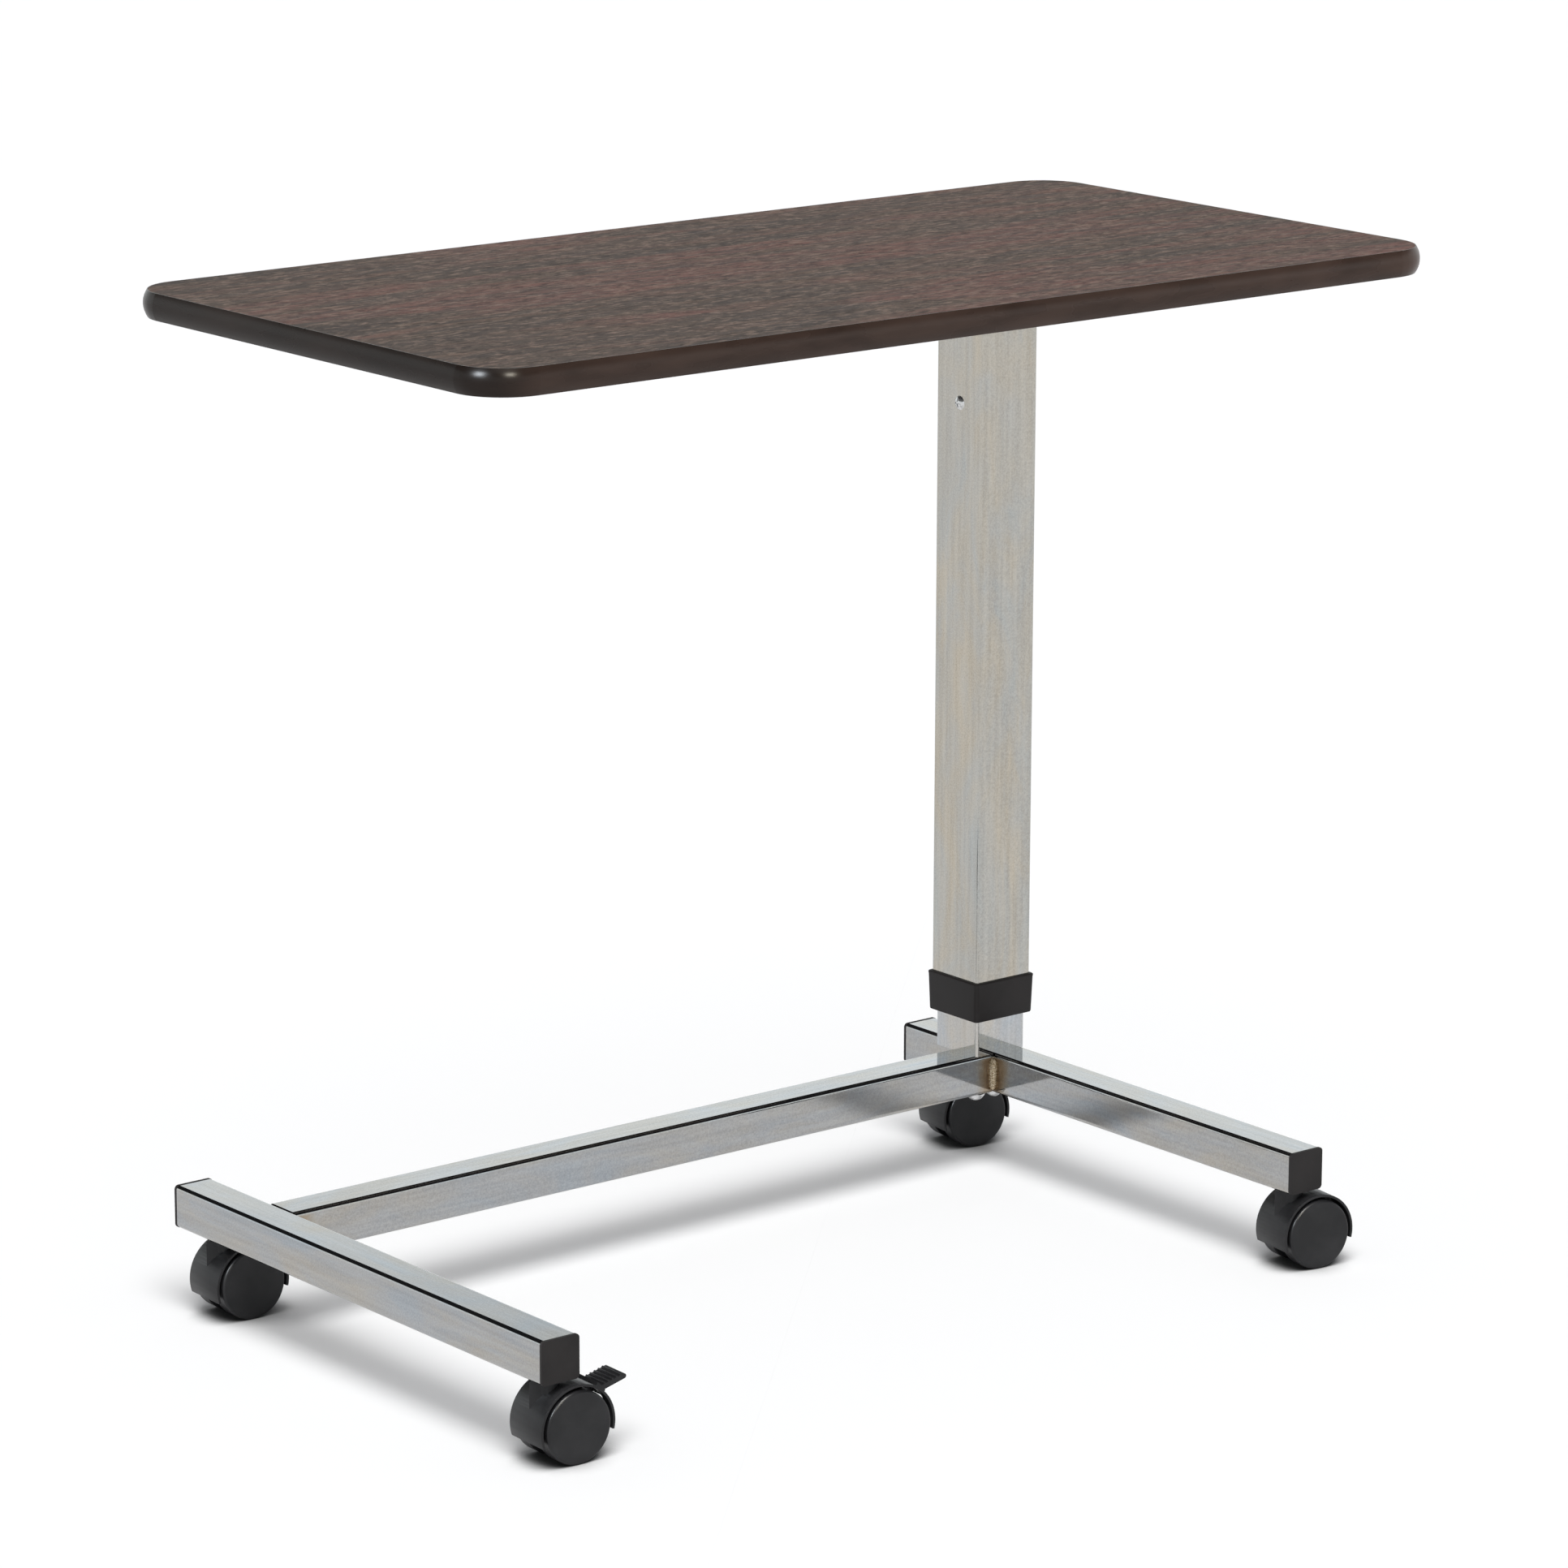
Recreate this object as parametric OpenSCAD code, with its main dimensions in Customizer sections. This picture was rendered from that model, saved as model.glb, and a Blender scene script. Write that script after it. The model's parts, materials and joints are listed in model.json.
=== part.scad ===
// Height-adjustable overbed table on an H-shaped base with four twin-wheel casters.
// The frame's origin is the centre of the table's footprint, on the floor. +Z is up,
// +X runs along the tabletop towards its column end, and the casters' rear is +Y.

/* [Tabletop] */
// Length of the tabletop over its edge moulding
top_length = 845; // [700:5:950]
// Width of the tabletop over its edge moulding
top_width = 430; // [360:5:480]
// Height of the tabletop's upper face at its lowest setting
top_height = 692; // [690:1:720]
// Thickness of the tabletop
top_thick = 19; // [18:0.5:22]
// Radius of the tabletop's corners
corner_r = 40; // [25:1:60]
// How far the edge moulding bulges past the core
edge_bulge = 3.5; // [2:0.5:5]

/* [Column] */
// Outer size of the square tube that moves with the top
outer_tube = 51.5; // [51.5:0.5:51.5]
// Wall of the outer tube
outer_wall = 1.5; // [1.5:0.1:1.5]
// Outer size of the square tube that is fixed to the base
inner_tube = 46.5; // [46.5:0.5:46.5]
// Wall of the inner tube
inner_wall = 2; // [1.5:0.1:2.5]
// Distance of the column from the tabletop's middle, along its length
column_offset = 186.1; // [120:1:220]
// Distance of the column from the tabletop's middle, across its width
column_back = 9.9; // [0:1:20]
// Height travel of the top
lift_travel = 360; // [200:10:360]

/* [Base] */
// Side of the square tube of the foot rails and the crossbar
rail_size = 30; // [28:1:32]
// Wall of the base tubes
rail_wall = 2; // [1.5:0.1:2.5]
// Height of the underside of the base tubes
rail_bottom = 57.5; // [57.5:0.5:60]
// Distance between the two foot rails' centre lines
rail_spacing = 654.3; // [560:1:700]
// Reach of the foot rails in front of the crossbar's centre line
rail_front = 336; // [280:1:380]
// Reach of the foot rails behind the crossbar's centre line
rail_rear = 88; // [88:1:120]

/* [Casters] */
// Radius of the caster wheels
wheel_r = 25; // [25:0.5:25]
// Width of one caster wheel
wheel_w = 13; // [12.5:0.1:13]
// Distance from a caster's stem to its wheel axle
trail = 12.5; // [12:0.1:13]
// Outer radius of the caster hood
hood_r = 29; // [29:0.1:29]
// Width of the caster hood
hood_w = 36; // [34:0.5:37]
// Distance of the front stems from the rails' front ends
stem_front = 15.5; // [15:0.5:30]
// Distance of the rear stems from the rails' rear ends
stem_rear = 36.5; // [30:0.5:40]
// Turn of the casters about their stems, on the left and on the right, in degrees
caster_turn = [2, 8]; // [0:1:10]

/* [Hidden] */
$fn = 64;

// Clearances
eps = 0.01; // cutting tools reach this far past the faces they cut
run = 0.06; // radial clearance of a running shaft
slide_gap = 0.1; // clearance of a sliding guide, on each side
clear = 0.3; // gap between pieces on different bodies

// Column and base, with x and y counted from the tabletop's middle
flush = (inner_tube - rail_size) / 2; // the column stands flush with both tubes it stands on
rail_x = [column_offset + flush - rail_spacing, column_offset + flush];
bar_y = column_back - flush;
rail_y = [bar_y - rail_front, bar_y + rail_rear];
stem_y = [rail_y[0] + stem_front, rail_y[1] - stem_rear];
cap_lip = 2;
rail_corner = 3;
inner_corner = 2.5; // outer corner radius of the inner column
outer_corner = 2;
glide_corner = 2; // of the glide's sleeve
bush_corner = 1; // of the blocks that fill the outer column
foot_corner = 1.5; // of the pieces that fill the inner column
rail_top = rail_bottom + rail_size;

// Stems and the casters on them: front left, front right, rear left, rear right
stem_place = [for (y = stem_y) for (x = rail_x) [x, y]];
function turn_of(i) = caster_turn[i % 2];
web_half = 6; // half the thickness of the hood's middle web
wheel_gap = 0.5; // between a wheel and that web
wheel_edge_r = 2;
wheel_face = web_half + wheel_gap + wheel_w; // a wheel's outer face, from the caster's middle
function reach_x(i, side) =
  stem_place[i].x + trail * cos(turn_of(i))
  + side * (hood_r * cos(turn_of(i)) + hood_w / 2 * sin(turn_of(i)));
function reach_front(i) =
  stem_place[i].y - trail * sin(turn_of(i)) - wheel_edge_r
  - (wheel_face - wheel_edge_r) * cos(turn_of(i)) - (wheel_r - wheel_edge_r) * sin(turn_of(i));

// Shift that puts the middle of the whole footprint on the origin
left_reach = min(reach_x(0, -1), rail_x[0] - rail_size / 2);
front_reach = min(reach_front(1), rail_y[0]);
shift = [-(left_reach + top_length / 2) / 2, -(front_reach + top_width / 2) / 2, 0];

// Heights
top_under = top_height - top_thick;
plate_t = 2.5; // support channel's metal
column_top = top_under - plate_t;
collar_bottom = 115;
collar_height = 29.5;
collar_lip = 3;
outer_bottom = collar_bottom + collar_lip;
head_middle = 575;
head_height = 16;
head_screw_r = 2.5;
head_screw_depth = 12;
glide_flange = 3;
head_gap = 2; // between the upper glide and the head block, at the lowest setting
inner_top = head_middle - head_height / 2 - head_gap - glide_flange;
glide_length = 35;
foot_height = 8;

// Gas spring
cylinder_r = 14;
cylinder_wall = 1.5;
cylinder_bottom = rail_top + foot_height;
guide_height = 20;
spring_rod_r = 5;
spring_rod_top = 586;
piston_bottom = 112;
piston_height = 12;
piston_spare = 36; // left above the piston at full height
cylinder_top = piston_bottom + piston_height + lift_travel + piston_spare + guide_height;
valve_pin_r = 1.5;
valve_pin_bottom = 562;
valve_pin_top = 590.3;

// Release lever
lever_z = 650;
lever_thick = 5;
lever_width = 16;
pivot_x = 45; // pivot, from the column's axis
pivot_r = 3;
lever_boss_r = 6.5;
lever_inner = -6;
lever_end = 208;
grip_start = 150;
grip_end = 213;
grip_width = 50;
bracket_wall = 2;
bracket_inside = lever_width + 1.2;
push_rod_r = 3;
push_rod_top = lever_z - lever_thick / 2 - clear;
rod_guide_z = [618, 632];

// Support channel under the tabletop
channel_x = [-375, 145]; // ends, from the column's axis
channel_width = 130;
channel_depth = 20;
screw_x = [-350, -185, -60, 120];
screw_y = [-48, 48];
wood_screw_r = 2;
wood_screw_depth = 13;

// Tabletop layers
laminate_t = 0.8;
tongue_depth = 8;
tongue_t = 2;
edge_lip = 0.5; // flat part of the moulding's upper and lower faces
edge_rise = edge_bulge - edge_lip;
edge_arc_r = (pow(top_thick / 2, 2) + pow(edge_rise, 2)) / (2 * edge_rise);

// Casters, with x and z counted from the stem and the floor
axle_r = 3;
wheel_skin = 2.2; // a wheel's outer wall, over the axle's end
axle_end_gap = 0.4;
hood_wall = 1.7;
hood_angles = [-13, 199]; // the hood's arc, from its lower edge behind to its lower edge in front
hood_top = 56.2;
stem_r = 4;
stem_flange_r = 7;
stem_bottom = 32.5;
stem_top = 81;
socket_r = 8;

// Brake pedal, with x and z counted from the axle
pedal_pivot = [12, 17];
pedal_pin_r = 1.5;
pedal_half = 10.4;
pedal_hub_r = 3.5;
pedal_hub_half = 3.9;
pedal_tilt = 15;
pedal_foot = [25.4, 20.2];
pedal_length = 16.5;
pedal_t = 3.4;
rib_r = 0.9;
rib_count = 5;
foot_root = 3; // how far the foot plate reaches into the shoe
rib_first = 1.2;
rib_pitch = 3.3;
rib_sink = 0.2; // how far the ribs' axes lie below the plate's face
shoe_r = [27.6, 32];
shoe_angles = [34, 50];
slot_angles = [17, 64];
slot_r = 24.8; // how deep the slot cuts in the brake shoe's path, from the axle
slot_side_gap = 0.6;
slot_floor_r = 16; // how deep it cuts in the path of the pedal's arm, from the axle
hub_gap = 0.5;
arm_r = [20, 30]; // the arm between the pedal's hub and its shoe, from the axle
arm_angles = [38, 54];

// Anchor bolts, from the column's axis
bolt_place = [[-16.8, -15], [0.6, -15]];
bolt_r = 3;
bolt_head_r = 7;
bolt_head_h = 5.8; // a brake pedal swivels under the heads
bolt_head_edge = 0.8; // how far the domed head steps in from its washer

steel = "silver";
dark_steel = "dimgray";
plastic = [0.16, 0.16, 0.17];

// ---------------------------------------------------------------- shared shapes

module placed() { translate(shift) children(); }
module at_column() { placed() translate([column_offset, column_back, 0]) children(); }
module at_stem(i) {
  placed() translate([stem_place[i].x, stem_place[i].y, 0]) rotate([0, 0, -turn_of(i)]) children();
}
module at_axle(i) { at_stem(i) translate([trail, 0, wheel_r]) children(); }

module rounded_square(size, r) {
  square([size.x - 2 * r, size.y], center = true);
  square([size.x, size.y - 2 * r], center = true);
  for (sx = [-1, 1]) for (sy = [-1, 1])
    translate([sx * (size.x / 2 - r), sy * (size.y / 2 - r)]) circle(r);
}

module rounded_block(size, r, h) { linear_extrude(h) rounded_square(size, r); }

module square_tube(side, wall, r, length) {
  linear_extrude(length) difference() {
    rounded_square([side, side], r);
    rounded_square([side - 2 * wall, side - 2 * wall], max(r - wall, 0.5));
  }
}

// A cylinder that lies along Y and is centred on it
module cross_cylinder(r, length) { rotate([90, 0, 0]) cylinder(r = r, h = length, center = true); }

// A shape drawn in X and Z, thickened along Y and centred on it
module side_plate(width) { rotate([90, 0, 0]) linear_extrude(width, center = true) children(); }

// A pie slice between two angles, reaching out to radius r
module slice(angles, r) {
  steps = 8;
  polygon(concat([[0, 0]], [for (k = [0:steps])
    let (a = angles[0] + (angles[1] - angles[0]) * k / steps) [r * cos(a), r * sin(a)]]));
}

// A pan head with a cross recess, its seat on z = 0 and its crown towards +Z
module pan_head(r, h) {
  crown_r = (r * r + h * h) / (2 * h);
  recess = [r * 0.3, r * 1.2, h * 0.55];
  difference() {
    intersection() {
      translate([0, 0, h - crown_r]) sphere(crown_r);
      cylinder(r = r, h = h);
    }
    for (a = [0, 90]) rotate([0, 0, a])
      translate([0, 0, h - recess.z / 2 + eps]) cube(recess, center = true);
  }
}

// ---------------------------------------------------------------- base frame

module rail_body(x) {
  length = rail_y[1] - rail_y[0] - 2 * cap_lip;
  color(steel) placed() translate([x, rail_y[0] + cap_lip, rail_bottom + rail_size / 2])
    rotate([-90, 0, 0]) square_tube(rail_size, rail_wall, rail_corner, length);
}

module stem_holes() {
  for (i = [0:3]) at_stem(i)
    translate([0, 0, rail_bottom - eps]) cylinder(r = stem_r, h = rail_wall + 2 * eps);
}

module bolt_holes() {
  at_column() for (p = bolt_place) translate([p.x, p.y, rail_bottom - eps])
    cylinder(r = bolt_r, h = rail_size + 2 * eps);
}

module left_foot_rail() {
  difference() {
    rail_body(rail_x[0]);
    stem_holes();
  }
}

module right_foot_rail() {
  difference() {
    rail_body(rail_x[1]);
    stem_holes();
    bolt_holes();
  }
}

module cross_bar() {
  length = rail_spacing - rail_size;
  difference() {
    color(steel) placed()
      translate([rail_x[0] + rail_size / 2, bar_y, rail_bottom + rail_size / 2])
      rotate([0, 90, 0]) square_tube(rail_size, rail_wall, rail_corner, length);
    bolt_holes();
  }
}

module inner_column() {
  color(steel) at_column() translate([0, 0, rail_top])
    square_tube(inner_tube, inner_wall, inner_corner, inner_top - rail_top);
}

// One upright bead in each corner between the crossbar and a foot rail
module weld_beads() {
  bead_r = 4.4;
  bead_margin = 3;
  color("darkgoldenrod") placed() for (side = [0, 1]) for (sy = [-1, 1])
    intersection() {
      translate([rail_x[side] + (side == 0 ? 1 : -1) * rail_size / 2, bar_y + sy * rail_size / 2,
                 rail_bottom + bead_margin])
        cylinder(r = bead_r, h = rail_size - 2 * bead_margin);
      translate([rail_x[side] + (side == 0 ? rail_size / 2 : -rail_size / 2 - rail_size),
                 bar_y + (sy > 0 ? rail_size / 2 : -rail_size / 2 - rail_size), rail_bottom])
        cube(rail_size);
    }
}

module end_cap(x, end) {
  plug = rail_size - 2 * rail_wall;
  plug_wall = 2;
  plug_depth = 5;
  plug_corner = 1;
  side = rail_size + 0.4; // stands a little proud of the tube
  color(plastic) placed()
    translate([x, rail_y[end], rail_bottom + rail_size / 2]) rotate([end == 0 ? -90 : 90, 0, 0]) {
      rounded_block([side, side], rail_corner, cap_lip);
      translate([0, 0, cap_lip - eps]) linear_extrude(plug_depth) difference() {
        rounded_square([plug, plug], plug_corner);
        square(plug - 2 * plug_wall, center = true);
      }
    }
}

module stem_sockets() {
  socket_bottom = rail_bottom + rail_wall;
  socket_height = rail_size - 2 * rail_wall;
  color(dark_steel) for (i = [0:3]) at_stem(i) difference() {
    translate([0, 0, socket_bottom]) cylinder(r = socket_r, h = socket_height);
    translate([0, 0, socket_bottom - eps]) cylinder(r = stem_r, h = stem_top - socket_bottom + eps);
  }
}

module caster_stem(i) {
  flange_t = 1;
  color(dark_steel) at_stem(i) {
    translate([0, 0, stem_bottom]) cylinder(r = stem_r, h = stem_top - stem_bottom);
    translate([0, 0, rail_bottom - flange_t]) cylinder(r = stem_flange_r, h = flange_t);
  }
}

// ---------------------------------------------------------------- column

module upper_glide() {
  sleeve = outer_tube - 2 * outer_wall - 2 * slide_gap;
  spigot = inner_tube - 2 * inner_wall;
  spigot_wall = 2;
  spigot_depth = 12;
  rod_hole_r = 8;
  color("ivory") at_column() {
    translate([0, 0, inner_top - glide_length]) linear_extrude(glide_length) difference() {
      rounded_square([sleeve, sleeve], glide_corner);
      rounded_square([inner_tube, inner_tube], inner_corner);
    }
    translate([0, 0, inner_top]) linear_extrude(glide_flange) difference() {
      rounded_square([sleeve, sleeve], glide_corner);
      circle(rod_hole_r);
    }
    translate([0, 0, inner_top - spigot_depth]) linear_extrude(spigot_depth) difference() {
      rounded_square([spigot, spigot], foot_corner);
      rounded_square([spigot - 2 * spigot_wall, spigot - 2 * spigot_wall], 1);
    }
  }
}

module spring_foot() {
  side = inner_tube - 2 * inner_wall;
  color(dark_steel) at_column() translate([0, 0, rail_top]) difference() {
    rounded_block([side, side], foot_corner, foot_height);
    for (p = bolt_place) translate([p.x, p.y, -eps]) cylinder(r = bolt_r, h = foot_height + 2 * eps);
  }
}

module anchor_bolts() {
  washer_t = 1.2;
  shank = rail_size + foot_height;
  color(steel) at_column() for (p = bolt_place) translate([p.x, p.y, rail_bottom]) {
    cylinder(r = bolt_r, h = shank);
    translate([0, 0, -washer_t]) cylinder(r = bolt_head_r, h = washer_t);
    mirror([0, 0, 1]) translate([0, 0, washer_t - eps]) intersection() {
      translate([0, 0, bolt_head_h - washer_t - bolt_head_r]) sphere(bolt_head_r);
      cylinder(r = bolt_head_r - bolt_head_edge, h = bolt_head_h - washer_t);
    }
  }
}

module gas_spring_cylinder() {
  floor_t = 4;
  color("black") at_column() translate([0, 0, cylinder_bottom]) difference() {
    cylinder(r = cylinder_r, h = cylinder_top - cylinder_bottom);
    translate([0, 0, floor_t]) cylinder(r = cylinder_r - cylinder_wall, h = cylinder_top);
  }
}

module gas_spring_guide() {
  color(dark_steel) at_column() translate([0, 0, cylinder_top - guide_height]) difference() {
    cylinder(r = cylinder_r - cylinder_wall, h = guide_height);
    translate([0, 0, -eps]) cylinder(r = spring_rod_r + run, h = guide_height + 2 * eps);
  }
}

module gas_spring_rod() {
  height = spring_rod_top - piston_bottom;
  drill_spare = 8; // left below the valve pin
  drill = spring_rod_top - valve_pin_bottom + drill_spare;
  color(steel) at_column() translate([0, 0, piston_bottom]) difference() {
    cylinder(r = spring_rod_r, h = height);
    translate([0, 0, height - drill]) cylinder(r = valve_pin_r + run, h = drill + eps);
  }
}

module gas_spring_piston() {
  color(dark_steel) at_column() translate([0, 0, piston_bottom]) difference() {
    cylinder(r = cylinder_r - cylinder_wall - run, h = piston_height);
    translate([0, 0, -eps]) cylinder(r = spring_rod_r, h = piston_height + 2 * eps);
  }
}

// Slot for the release lever in the outer tube's wall
module lever_slot() {
  slot_h = 14;
  translate([outer_tube / 2, 0, lever_z])
    cube([3 * outer_wall, lever_width + 2, slot_h], center = true);
}

module outer_column() {
  difference() {
    color(steel) at_column() translate([0, 0, outer_bottom])
      square_tube(outer_tube, outer_wall, outer_corner, column_top - outer_bottom);
    at_column() lever_slot();
    at_column() head_screw_axes() cylinder(r = head_screw_r, h = outer_tube);
  }
}

// Puts its children on the head screws' axes, pointing inwards
module head_screw_axes() {
  for (side = [-1, 1]) translate([side * (outer_tube / 2 + eps), 0, head_middle])
    rotate([0, -side * 90, 0]) intersection() {
      children();
      cylinder(r = outer_tube, h = head_screw_depth + eps);
    }
}

module column_collar() {
  wall = 2.5;
  corner = 3;
  side = outer_tube + 2 * wall;
  inside = inner_tube + 2 * slide_gap;
  bush_height = 40;
  bush_side = outer_tube - 2 * outer_wall;
  color(plastic) at_column() {
    translate([0, 0, collar_bottom]) linear_extrude(collar_lip) difference() {
      rounded_square([side, side], corner);
      rounded_square([inside, inside], inner_corner);
    }
    translate([0, 0, outer_bottom]) linear_extrude(collar_height - collar_lip) difference() {
      rounded_square([side, side], corner);
      rounded_square([outer_tube, outer_tube], outer_corner);
    }
    translate([0, 0, outer_bottom]) linear_extrude(bush_height) difference() {
      rounded_square([bush_side, bush_side], bush_corner);
      rounded_square([inside, inside], inner_corner);
    }
  }
}

module head_block() {
  side = outer_tube - 2 * outer_wall;
  difference() {
    color("ivory") at_column() translate([0, 0, head_middle - head_height / 2])
      rounded_block([side, side], bush_corner, head_height);
    at_column() translate([0, 0, head_middle - head_height])
      cylinder(r = spring_rod_r, h = 2 * head_height);
    at_column() head_screw_axes() cylinder(r = head_screw_r, h = outer_tube);
  }
}

module head_screws() {
  head = [5.2, 2.4];
  color(steel) at_column() for (side = [-1, 1])
    translate([side * outer_tube / 2, 0, head_middle]) rotate([0, side * 90, 0]) {
      translate([0, 0, -head_screw_depth]) cylinder(r = head_screw_r, h = head_screw_depth);
      pan_head(head[0], head[1]);
    }
}

// ---------------------------------------------------------------- tabletop

module core_outline() {
  rounded_square([top_length - 2 * edge_bulge, top_width - 2 * edge_bulge], corner_r - edge_bulge);
}

module tongue_outline() {
  inset = 2 * (edge_bulge + tongue_depth);
  rounded_square([top_length - inset, top_width - inset], corner_r - inset / 2);
}

module tabletop_core() {
  color("peru") difference() {
    placed() translate([0, 0, top_under + laminate_t])
      linear_extrude(top_thick - 2 * laminate_t) core_outline();
    placed() translate([0, 0, top_under + (top_thick - tongue_t) / 2])
      linear_extrude(tongue_t) difference() {
        square([top_length, top_width], center = true);
        tongue_outline();
      }
    support_screw_places() cylinder(r = wood_screw_r, h = wood_screw_depth + eps);
  }
}

module top_laminate() {
  color([0.36, 0.29, 0.26]) placed() translate([0, 0, top_height - laminate_t])
    linear_extrude(laminate_t) core_outline();
}

module backing_laminate() {
  color([0.3, 0.25, 0.22]) difference() {
    placed() translate([0, 0, top_under]) linear_extrude(laminate_t) core_outline();
    support_screw_places() cylinder(r = wood_screw_r, h = wood_screw_depth);
  }
}

// Section of the moulding: x is the distance outside the core's edge
module edge_section() {
  intersection() {
    translate([edge_bulge - edge_arc_r, top_thick / 2]) circle(edge_arc_r, $fn = 180);
    square([edge_bulge, top_thick]);
  }
  translate([-tongue_depth, (top_thick - tongue_t) / 2]) square([tongue_depth + eps, tongue_t]);
}

module edge_moulding() {
  half = [top_length / 2 - corner_r, top_width / 2 - corner_r];
  edge = corner_r - edge_bulge;
  color([0.13, 0.11, 0.1]) placed() translate([0, 0, top_under]) {
    for (side = [-1, 1]) {
      rotate([0, 0, side * 90]) translate([half.y + edge, half.x, 0]) rotate([90, 0, 0])
        linear_extrude(2 * half.x) edge_section();
      rotate([0, 0, side > 0 ? 0 : 180]) translate([half.x + edge, half.y, 0]) rotate([90, 0, 0])
        linear_extrude(2 * half.y) edge_section();
    }
    for (k = [0:3]) translate([(k == 0 || k == 3 ? 1 : -1) * half.x, (k < 2 ? 1 : -1) * half.y, 0])
      rotate([0, 0, 90 * k]) rotate_extrude(angle = 90) translate([edge, 0]) edge_section();
  }
}

module support_screw_places() {
  at_column() for (x = screw_x) for (y = screw_y) translate([x, y, column_top + plate_t]) children();
}

module support_channel() {
  length = channel_x[1] - channel_x[0];
  color(dark_steel) difference() {
    at_column() translate([channel_x[0], 0, column_top + plate_t]) rotate([90, 0, 90])
      linear_extrude(length) difference() {
        translate([-channel_width / 2, -channel_depth]) square([channel_width, channel_depth]);
        translate([-channel_width / 2 + plate_t, -channel_depth - eps])
          square([channel_width - 2 * plate_t, channel_depth - plate_t + eps]);
      }
    support_screw_places() translate([0, 0, -plate_t - eps])
      cylinder(r = wood_screw_r, h = plate_t + 2 * eps);
  }
}

module support_screws() {
  head = [4.2, 2.2];
  color(steel) support_screw_places() translate([0, 0, -plate_t]) {
    cylinder(r = wood_screw_r, h = plate_t + wood_screw_depth);
    mirror([0, 0, 1]) pan_head(head[0], head[1]);
  }
}

// ---------------------------------------------------------------- height release

module lever_bracket() {
  length = 26;
  base_z = column_top - bracket_wall;
  ear_drop = 7; // how far the ears reach below the pivot
  color(dark_steel) at_column() translate([pivot_x, 0, 0]) difference() {
    union() {
      translate([-length / 2, -bracket_inside / 2 - bracket_wall, base_z])
        cube([length, bracket_inside + 2 * bracket_wall, bracket_wall]);
      for (side = [-1, 1]) translate([0, side * (bracket_inside + bracket_wall) / 2, 0]) {
        translate([-length / 2, -bracket_wall / 2, lever_z])
          cube([length, bracket_wall, base_z - lever_z + eps]);
        translate([0, 0, lever_z]) intersection() {
          cross_cylinder(length / 2, bracket_wall);
          translate([0, 0, -ear_drop]) cylinder(r = length, h = length);
        }
      }
    }
    translate([0, 0, lever_z]) cross_cylinder(pivot_r, 2 * length);
  }
}

module lever_pin() {
  length = bracket_inside + 2 * bracket_wall;
  head_t = 1.5;
  head_r = pivot_r + 1.2;
  color(steel) at_column() translate([pivot_x, 0, lever_z]) {
    cross_cylinder(pivot_r, length);
    for (side = [-1, 1]) translate([0, side * (length + head_t) / 2, 0])
      cross_cylinder(head_r, head_t);
  }
}

module release_lever() {
  color(dark_steel) at_column() translate([0, 0, lever_z]) difference() {
    union() {
      translate([lever_inner, -lever_width / 2, -lever_thick / 2])
        cube([lever_end - lever_inner, lever_width, lever_thick]);
      translate([pivot_x, 0, 0]) cross_cylinder(lever_boss_r, lever_width);
    }
    translate([pivot_x, 0, 0]) cross_cylinder(pivot_r + run, lever_width + 1);
  }
}

module lever_grip() {
  depth = 11;
  end_r = depth / 2;
  corner = 12;
  color(plastic) at_column() translate([0, 0, lever_z]) difference() {
    intersection() {
      side_plate(grip_width) {
        translate([grip_start + end_r, -end_r]) square([grip_end - grip_start - 2 * end_r, depth]);
        translate([grip_start + end_r, 0]) circle(end_r);
        translate([grip_end - end_r, 0]) circle(end_r);
      }
      translate([(grip_start + grip_end) / 2, 0, -depth])
        rounded_block([grip_end - grip_start, grip_width], corner, 2 * depth);
    }
    translate([0, -lever_width / 2, -lever_thick / 2]) cube([lever_end, lever_width, lever_thick]);
  }
}

module push_rod_guide() {
  side = outer_tube - 2 * outer_wall;
  height = rod_guide_z[1] - rod_guide_z[0];
  color("ivory") at_column() translate([0, 0, rod_guide_z[0]]) difference() {
    rounded_block([side, side], bush_corner, height);
    translate([0, 0, -eps]) cylinder(r = push_rod_r + run, h = height + 2 * eps);
  }
}

module valve_pin() {
  color(steel) at_column() translate([0, 0, valve_pin_bottom])
    cylinder(r = valve_pin_r, h = valve_pin_top - valve_pin_bottom);
}

module push_rod() {
  color(steel) at_column() translate([0, 0, valve_pin_top]) {
    cylinder(r = push_rod_r, h = push_rod_top - push_rod_r - valve_pin_top);
    translate([0, 0, push_rod_top - push_rod_r - valve_pin_top]) sphere(push_rod_r);
  }
}

// ---------------------------------------------------------------- casters

module hood_boss() {
  boss_r = 8.5;
  boss_root = 6; // how far the boss reaches down into the drum
  boss_bottom = wheel_r + hood_r - boss_root;
  wedge_bottom = 37;
  wedge_nose = -13.5;
  wedge_x = [-2, 3]; // where the wedge is at its full width
  wedge_half = 8.2;
  translate([0, 0, boss_bottom]) cylinder(r = boss_r, h = hood_top - boss_bottom);
  translate([0, 0, wedge_bottom]) linear_extrude(hood_top - wedge_bottom)
    polygon([[wedge_nose, 0], [wedge_x[0], -wedge_half], [wedge_x[1], -wedge_half],
             [wedge_x[1], wedge_half], [wedge_x[0], wedge_half]]);
}

// The drum of the hood: two wheel spaces, with the middle web between them
module hood_drum() {
  translate([trail, 0, wheel_r]) intersection() {
    cross_cylinder(hood_r, hood_w);
    side_plate(hood_w + 2) slice(hood_angles, 2 * hood_r);
  }
}

// Room for the two wheels
module wheel_room() {
  translate([trail, 0, wheel_r]) for (side = [-1, 1])
    translate([0, side * (web_half + hood_w / 2), 0])
      cross_cylinder(hood_r - hood_wall, hood_w);
}

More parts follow.
